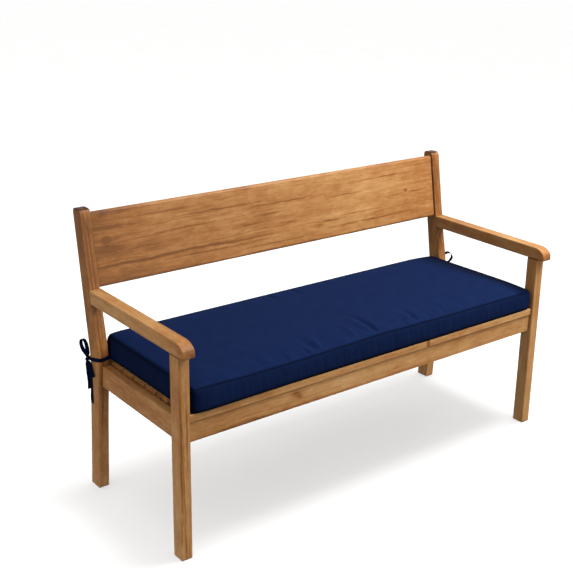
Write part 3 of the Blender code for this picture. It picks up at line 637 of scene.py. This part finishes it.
# Single streaks of the grain, and a painted shade line along the board's lower edge: place along and across
# in the log, half length, half width and how dark.
WOOD_STREAKS_AND_EDGE_SHADE = (
    # the board of the back
    (17.34, 0.15, 0.09, 0.0036, 0.3), (17.39, 0.133, 0.1, 0.003, -0.2), (17.34, 0.086, 0.035, 0.009, 0.16),
    (17.4, 0.032, 0.13, 0.003, 0.58), (17.64, 0.036, 0.17, 0.0026, 0.46), (17.83, 0.031, 0.13, 0.0024, 0.3),
    (17.7, 0.018, 0.2, 0.0024, 0.24), (17.4, 0.014, 0.12, 0.008, -0.16), (17.73, 0.149, 0.13, 0.0028, 0.26),
    (17.55, 0.172, 0.11, 0.003, 0.2), (18.01, 0.133, 0.1, 0.0022, 0.24), (17.97, 0.0, 0.13, 0.003, 0.22),
    (18.2, 0.04, 0.07, 0.0034, 0.34), (18.33, 0.049, 0.09, 0.0026, 0.24),
    (18.15, 0.026, 0.022, 0.008, 0.26), (18.4, 0.014, 0.17, 0.0026, 0.34),
    (18.46, -0.004, 0.28, 0.01, -0.18), (18.62, 0.085, 0.05, 0.0022, 0.18),
    (18.53, 0.16, 0.17, 0.0026, 0.22), (17.86, 0.078, 0.06, 0.0024, 0.26), (17.95, 0.1, 0.05, 0.003, 0.2),
    (18.03, 0.06, 0.04, 0.006, 0.2), (17.6, 0.11, 0.1, 0.0022, 0.2), (18.27, 0.12, 0.06, 0.0022, 0.22),
    # painted shade along the board's lower edge, where it turns under, and the darker lower edge of the
    # apron's left half
    (18.0, -0.026, 5.0, 0.005, 1.8), (11.8, 0.0184, 0.4, 0.0065, 0.34),
    # the left front leg and the two back posts
    (-0.97, 0.032, 0.24, 0.0034, 0.38), (-1.06, 0.039, 0.16, 0.002, 0.3), (-0.9, 0.05, 0.12, 0.002, 0.34),
    (-0.93, 0.056, 0.26, 0.005, -0.1), (-1.31, 0.043, 0.11, 0.0028, 0.46),
    (-1.36, 0.054, 0.13, 0.0022, 0.36), (-1.68, 0.045, 0.2, 0.0026, 0.3), (2.92, 0.041, 0.12, 0.0026, 0.34),
    # the apron's smudged knot and darker left part
    (11.968, 0.06, 0.02, 0.009, 0.2), (11.96, 0.067, 0.01, 0.0035, 0.22),
    (11.976, 0.052, 0.008, 0.004, 0.18), (11.7, 0.05, 0.14, 0.028, 0.12))


def hardwood():
    """Sawn hardwood, worked out in the log it came from: growth rings round a pith that wanders along the
    log, so each face shows its own cut through them, with streaks, fibres, pores and a few knots, and a
    painted shade line along the back board's lower edge.

    The attribute "grain" holds metres along, across and through the log, "tone" how pale the piece is,
    with painted light and painted shade added on some pieces.
    """
    made, shader, grain = new_look("oiled hardwood", "grain", {"Specular IOR Level": 0.13})
    along, across, through = grain.parts()
    tone = grain.node("ShaderNodeAttribute", {"attribute_name": "tone"}, out=2)
    waves = (grain.noise(6.0, 3.0, 3.0) - 0.5) * 0.012 + (grain.noise(17.0, 9.0, 9.0) - 0.5) * 0.005
    flowing = grain.node("ShaderNodeCombineXYZ", X=along, Y=across + waves, Z=through + waves)
    shift = across + (grain.noise(1.3, 0.6, 0.6) - 0.5) * 0.040 + waves
    dark = None
    for knot_along, knot_across, size, push in WOOD_KNOTS:
        near = grain.bell((knot_along, knot_across), (1.5 * size, size))
        shift = shift + grain.bell((knot_along, knot_across - size), (6 * size, 2 * size)) * push
        dark = near if dark is None else dark + near
    streaks_and_edge_shade = None
    for streak_along, streak_across, long, half, strength in WOOD_STREAKS_AND_EDGE_SHADE:
        streak = flowing.bell((streak_along, streak_across), (long, half)) * strength
        streaks_and_edge_shade = streak if streaks_and_edge_shade is None else streaks_and_edge_shade + streak
    deep = through + PITH_BELOW
    from_pith = (shift * shift + deep * deep).math("SQRT")
    bands, rings = (from_pith.node("ShaderNodeTexNoise", {"noise_dimensions": "1D"}, W=from_pith * many,
                                   Scale=1.0, Detail=2.0) for many in (60.0, 230.0))
    late = rings.between(0.55, 0.66) * grain.noise(3.0, 20.0, 20.0).between(0.42, 0.60)
    streaks = flowing.noise(10.0, 90.0, 90.0, detail=4.0, roughness=0.62)
    fibres = flowing.noise(22.0, 620.0, 620.0, detail=4.0, roughness=0.65)
    pores = grain.noise(45.0, 1400.0, 1400.0, detail=1.0).between(0.60, 0.72)
    mottles = grain.noise(18.0, 34.0, 34.0, detail=4.0, roughness=0.65)
    drifts = grain.noise(2.2, 9.0, 9.0, detail=2.0)
    figure = ((bands - 0.5) * 0.22 + (streaks - 0.5) * 0.32 + (fibres - 0.5) * 0.60 + (mottles - 0.5) * 0.42
              + (drifts - 0.5) * 0.50 - late * 0.10)
    broken = grain.noise(30.0, 260.0, 260.0).between(0.15, 0.50)
    plain = 0.5 + figure + tone
    marked = (plain - streaks_and_edge_shade * broken * 1.25 - dark * 0.5).math("MAXIMUM", MARKS_DARKEST)
    value = plain.math("MINIMUM", marked)
    stops = [(0.0, WOOD_SAWN_END), (0.10, WOOD_DARK), (0.35, WOOD_BROWN), (0.60, WOOD_GOLD),
             (0.95, WOOD_PALE)]
    colour = value.node("ShaderNodeValToRGB", {"stops": stops}, Fac=value)
    colour = colour.mixed((*WOOD_DARK, 1.0), pores * 0.40)
    colour.feed(shader, "Base Color")
    (0.44 + (fibres - 0.5) * 0.18 + pores * 0.2).feed(shader, "Roughness")
    height = fibres * 0.5 - pores * 0.8 - late * 0.2
    height.node("ShaderNodeBump", Height=height, Strength=0.30, Distance=0.0004).feed(shader, "Normal")
    return made


oiled_hardwood = hardwood()


def quarter_round(distance, radius):
    """How far a side is drawn in at a distance from a rounded end: a quarter circle, then nothing."""
    return radius * (1 - quarter(distance / radius))


def stations(start, end, radius, *extra):
    """Places along a bar: close together in its two rounded ends, even between, and any extra ones."""
    curve = np.append(radius * (1 - np.cos(np.linspace(0, math.pi / 2, 5))), radius + SHADING_LINE)
    count = max(int((end - start - 2 * curve[-1]) / STATION), 2)
    even = np.linspace(start + curve[-1], end - curve[-1], count + 1)[1:-1]
    return np.unique(np.concatenate([start + curve, even, end - curve, *extra]))


def bar(name, axis, at, low, high, easing, log, tone, across="u", radii=None, settle=None,
        end_darker=END_DARKER):
    """A bar drawn along x, y or z: a rectangle from low to high in the two other directions, u and v, with
    rounded corners, carried through the stations at, and drawn in by a quarter round at both ends.
    Its grain runs along it from the place in the log, and settle moves the finished points."""
    low = np.broadcast_to(low, (len(at), 2)).astype(float)
    high = np.broadcast_to(high, (len(at), 2)).astype(float)
    inset = quarter_round(at - at[0], easing) + quarter_round(at[-1] - at, easing)
    radii = np.array(radii or [easing] * 4)[:, None]
    radii = np.maximum(radii - inset, 0.12 * easing)  # corner, station
    centre = (low + high) / 2
    half = (high - low) / 2 - inset[:, None]
    turn = np.linspace(0, math.pi / 2, 5)
    turn = np.concatenate([turn[:1], turn, turn[-1:]])
    back = np.array([0, 0, 0, 0, 0, 0, SHADING_LINE])
    u, v = [], []
    for corner, (side_u, side_v) in enumerate(((1, -1), (1, 1), (-1, 1), (-1, -1))):
        angle = turn + (corner - 1) * math.pi / 2
        round_off = radii[corner][:, None]
        pull_u, pull_v = (back[::-1], back) if corner % 2 == 0 else (back, back[::-1])
        u.append(centre[:, :1] + side_u * (half[:, :1] - round_off - pull_u) + round_off * np.cos(angle))
        v.append(centre[:, 1:] + side_v * (half[:, 1:] - round_off - pull_v) + round_off * np.sin(angle))
    u, v = np.hstack(u), np.hstack(v)
    order = "xyz".index(axis)
    rings = np.empty((*u.shape, 3))
    rings[..., order] = at[:, None]
    rings[..., (order + 1) % 3] = u
    rings[..., (order + 2) % 3] = v
    wide, deep = (u, v) if across == "u" else (v, u)
    grain = np.stack([rings[..., order] + log[0], wide - wide.mean() + log[1], deep - deep.mean() + log[2]],
                     axis=-1)
    if settle:
        rings = settle(rings)
    at_end = (np.minimum(at - at[0], at[-1] - at) < easing + SHADING_LINE / 2)[:, None]
    tone = np.reshape(tone, (-1, 1)) - end_darker * at_end
    made = skin(f"{name}_planed", rings, oiled_hardwood, grain=grain, tone=np.broadcast_to(tone, u.shape))
    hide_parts(name)


def straight_bar(name, axis, easing, log, tone, ahead=0.0, **more):
    """A straight bar that fills its node's box, or stands a little ahead of it."""
    low, high = np.array(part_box(name)) - (0.0, ahead, 0.0)
    order = "xyz".index(axis)
    sides = [(order + 1) % 3, (order + 2) % 3]
    bar(name, axis, stations(low[order], high[order], easing), low[sides], high[sides], easing, log, tone,
        **more)


def post_face(height):
    """Y of a back post's front face: two straight slopes joined by a parabola at the knee."""
    reach = BEND_RADIUS * math.tan((math.atan(UPPER_SLOPE) - math.atan(LOWER_SLOPE)) / 2)
    above = height - KNEE_HEIGHT
    bend = KNEE_FACE + LOWER_SLOPE * above + (UPPER_SLOPE - LOWER_SLOPE) * (above + reach) ** 2 / (4 * reach)
    return np.where(above < -reach, KNEE_FACE + LOWER_SLOPE * above,
                    np.where(above > reach, KNEE_FACE + UPPER_SLOPE * above, bend))


def cut_to_post(rings):
    """The bar's back end follows the post's face: each point slides back by its share of the length."""
    front, back = rings[..., 1].min(), rings[..., 1].max()
    height = rings[..., 2]
    wanted = post_face(height) - KNEE_FRONT * bell(height - KNEE_HEIGHT, KNEE_REACH) - GAP
    rings[..., 1] += (wanted - back) * (rings[..., 1] - front) / (back - front)
    return rings


for side, name in ((-1, "left"), (1, "right")):
    low, high = np.array(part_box(f"front_leg_{name}"))
    at = stations(low[2], high[2], EASED)
    bar(f"front_leg_{name}", "z", at, low[:2], high[:2], EASED, (1.3 * side, 0.045, 0.01 * side),
        np.interp(at, (0.0, 0.30, 0.60), (0.12, 0.055, 0.0)) + 0.01 * side)
    # The cleats' deeper tone is painted shade: they show only through the gaps between the slats.
    straight_bar(f"seat_cleat_{name}", "y", EASED_THIN, (3.3 * side, 0.08, 0.02), -0.24)
    dome = POST_HEIGHT - POST_TOP_ROUND * (1 - np.sin(np.linspace(0, math.pi / 2, 7)))
    at = stations(0.0, POST_HEIGHT, EASED, dome, KNEE_STATIONS)
    back = post_face(at) + LEG_DEPTH + POST_DEEPER * np.interp(at, (0.0, 0.55, 0.90), (1.0, 1.0, 0.2))
    face = post_face(at) - KNEE_FRONT * bell(at - KNEE_HEIGHT, KNEE_REACH)
    drawn = quarter_round(POST_HEIGHT - at, POST_TOP_ROUND)
    drawn = np.clip(drawn - quarter_round(POST_HEIGHT - at, EASED), 0, None)
    left, right = sorted((POST_OUTER * side, POST_INNER * side))
    bar(f"back_post_{name}", "z", at,
        np.stack([0 * at + left, face + drawn], axis=-1), np.stack([0 * at + right, back - drawn], axis=-1),
        EASED, (2.1 * side, 0.05, 0.03 * side),
        np.interp(at, (0.0, 0.45, 0.60), (0.06, 0.0, -0.15)) + 0.03 * (side - 1))
    low, high = np.array(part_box(f"arm_{name}"))
    rise = high[2] - low[2] - ARM_LIP
    curve = low[1] + ARM_CURVE * (1 - np.cos(np.linspace(0, math.pi / 2, 12)))
    at = stations(low[1], high[1], EASED, curve)
    falls = rise * (1 - quarter((at - low[1]) / ARM_CURVE))
    bar(f"arm_{name}", "y", at, (low[2], low[0]), np.stack([high[2] - falls, 0 * at + high[0]], axis=-1),
        EASED, (4.2 * side, 0.06, 0.015), np.interp(at - low[1], (0.0, 0.05), (-0.18, 0.0)), across="v",
        settle=cut_to_post, end_darker=0.05)
    straight_bar(f"side_rail_{name}", "y", EASED_THIN, (5.4 * side, 0.07, 0.01), -0.03, settle=cut_to_post)
# The slats' paler tone is painted light on their tops, where they show beside the cushion; their ends are
# darkened past a sawn end's colour, partly end grain and partly painted shade under the cushion's edge.
for number in range(1, 7):
    straight_bar(f"seat_slat_{number}", "x", EASED_THIN, (7.0 + number, 0.03 * number, 0.02), 0.18,
                 end_darker=0.50)
straight_bar("seat_nosing", "x", EASED_THIN, (9.7, 0.06, 0.03), 0.10)
APRON_AHEAD = 0.0060  # the apron stands this much nearer the nosing's front
straight_bar("front_apron", "x", EASED_THIN, (12.3, 0.05, 0.01), 0.04, across="v", ahead=APRON_AHEAD)
straight_bar("back_rail", "x", EASED_THIN, (14.1, 0.05, 0.02), -0.02, across="v")

# The bearer under the middle of the slats, notched at the front to pass under the nosing.
low, high = np.array(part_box("middle_bearer"))
NOTCH_BACK, NOTCH_TOP = 0.0518 + LEGS_FRONT, 0.4259
at = stations(low[1], high[1], EASED_THIN, [NOTCH_BACK - 0.0001, NOTCH_BACK])
bar("middle_bearer", "y", at, (low[2], low[0]),
    np.stack([np.where(at < NOTCH_BACK, NOTCH_TOP, high[2]), 0 * at + high[0]], axis=-1), EASED_THIN,
    (16.2, 0.05, 0.02), -0.05)

# The back: one wide board, its top edge rounded like the posts', raked with them.
BOARD_BOTTOM, BOARD_TOP, BOARD_THICK, BOARD_BEHIND = 0.674, 0.902, 0.020, 0.007
BOARD_TOP_ROUND = 0.009
rake = math.atan(UPPER_SLOPE)
tall = (BOARD_TOP - BOARD_BOTTOM) / math.cos(rake) / 2
board_middle = (BOARD_TOP + BOARD_BOTTOM) / 2
board_y = float(post_face(np.array(board_middle))) + (BOARD_BEHIND + BOARD_THICK / 2) / math.cos(rake)


def raked(rings):
    """The board leaned back by the posts' rake and set in its place."""
    x, y, z = np.moveaxis(rings, -1, 0)
    return np.stack([x, board_y + y * math.cos(rake) + z * math.sin(rake),
                     board_middle + z * math.cos(rake) - y * math.sin(rake)], axis=-1)


low, high = np.array(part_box("backrest_board"))
at = stations(low[0], high[0], EASED_THIN)
# The board's tone is darker toward its left end: partly its own tone, partly painted shade where the light
# falls off to the left. Its ends are darkened more than a sawn end, with painted shade where they meet the
# posts.
tone = np.interp(at, (-0.70, -0.50, -0.30, 0.00, 0.40, 0.70), (-0.25, -0.13, -0.07, -0.04, -0.05, -0.10))
bar("backrest_board", "x", at, (-BOARD_THICK / 2, -tall), (BOARD_THICK / 2, tall), EASED_THIN,
    (18.0, 0.09, 0.0), tone, across="v", radii=[EASED, BOARD_TOP_ROUND, BOARD_TOP_ROUND, EASED],
    settle=raked, end_darker=0.80)

# ---- Floor and light -------------------------------------------------------------------------------------
# A wide white studio floor in a pale room. A large soft light high on the right in front, a nearer one and
# two low cards light the bench alone. The floor has a soft lamp overhead that casts the bench's shadow, and
# one that nothing blocks, which keeps the shadow pale.
FLOOR_HALF = 40.0
ROOM_BELOW, ROOM_LEVEL, ROOM_ABOVE = 0.42, 0.50, 1.35
floor_mesh = bpy.data.meshes.new("floor")
floor_mesh.from_pydata([(-FLOOR_HALF, -FLOOR_HALF, 0), (FLOOR_HALF, -FLOOR_HALF, 0),
                        (FLOOR_HALF, FLOOR_HALF, 0), (-FLOOR_HALF, FLOOR_HALF, 0)], [], [(0, 1, 2, 3)])
floor = placed("floor", floor_mesh)
floor.visible_diffuse = False
floor.visible_glossy = False
white_floor, shader, ground = new_look("white studio floor", "position",
                                       {"Roughness": 0.9, "Specular IOR Level": 0.0})
speckle = ground.noise(3.0, 3.0, 3.0, detail=3.0)
speckle.node("ShaderNodeValToRGB", {"stops": [(0.3, (0.495, 0.495, 0.49)), (0.7, (0.505, 0.505, 0.505))]},
             Fac=speckle).feed(shader, "Base Color")
floor_mesh.materials.append(white_floor)

world = bpy.data.worlds.new("pale room")
world.use_nodes = True
tree = world.node_tree
height = Socket(tree.nodes.new("ShaderNodeTexCoord").outputs["Generated"]).parts()[2]
up = height.clamped()
level_up = height.between(-0.15, 0.0)
glow = up * up * (ROOM_ABOVE - ROOM_LEVEL) + level_up * (ROOM_LEVEL - ROOM_BELOW) + ROOM_BELOW
glow.feed(tree.nodes["Background"], "Strength")
tree.nodes["Background"].inputs["Color"].default_value = (1.0, 1.0, 1.0, 1.0)
bpy.context.scene.world = world


def kept_to(name, pieces):
    """A collection of the only pieces that a lamp lights."""
    made = bpy.data.collections.new(name)
    for piece in pieces:
        made.objects.link(piece)
    return made


floor_only = kept_to("floor", [floor])
bench_only = kept_to("bench and cushion", [piece for piece in bpy.context.scene.objects
                                           if piece.type == "MESH" and piece != floor])
# Each lamp: kind, watts (or strength), size (or angle), place, the point it is turned to, and what it lights.
LAMPS = {"floor lamp": ("SUN", 3.3, 0.5, (0.0, 0.0, 5.0), (0.0, 0.0, 0.0), floor_only),
         "floor key": ("AREA", 190.0, 1.7, (0.8, -0.35, 4.6), (0.1, 0.0, 0.2), floor_only),
         "key light": ("AREA", 185.0, 2.2, (1.8, -2.5, 4.4), (0.2, 0.0, 0.5), bench_only),
         "near light": ("AREA", 112.0, 0.9, (1.5, -1.0, 2.8), (0.1, 0.0, 0.5), bench_only),
         "left card": ("AREA", 26.0, 1.2, (-2.6, -0.3, 0.25), (-0.6, 0.0, 0.25), bench_only),
         "front card": ("AREA", 22.0, 1.2, (0.8, -2.6, 0.5), (0.2, -0.2, 0.35), bench_only)}
for name, (kind, strength, size, place, toward, lit) in LAMPS.items():
    lamp = bpy.data.lights.new(name, kind)
    lamp.energy = strength
    if kind == "SUN":
        lamp.angle = size
    else:
        lamp.shape = "SQUARE"
        lamp.size = size
    lamp = placed(name, lamp)
    turn = (Vector(toward) - Vector(place)).to_track_quat("-Z", "Y")
    lamp.matrix_world = Matrix.Translation(place) @ turn.to_matrix().to_4x4()
    lamp.light_linking.receiver_collection = lit
    if kind == "SUN":
        lamp.light_linking.blocker_collection = lit
bpy.context.scene.view_settings.view_transform = "Standard"
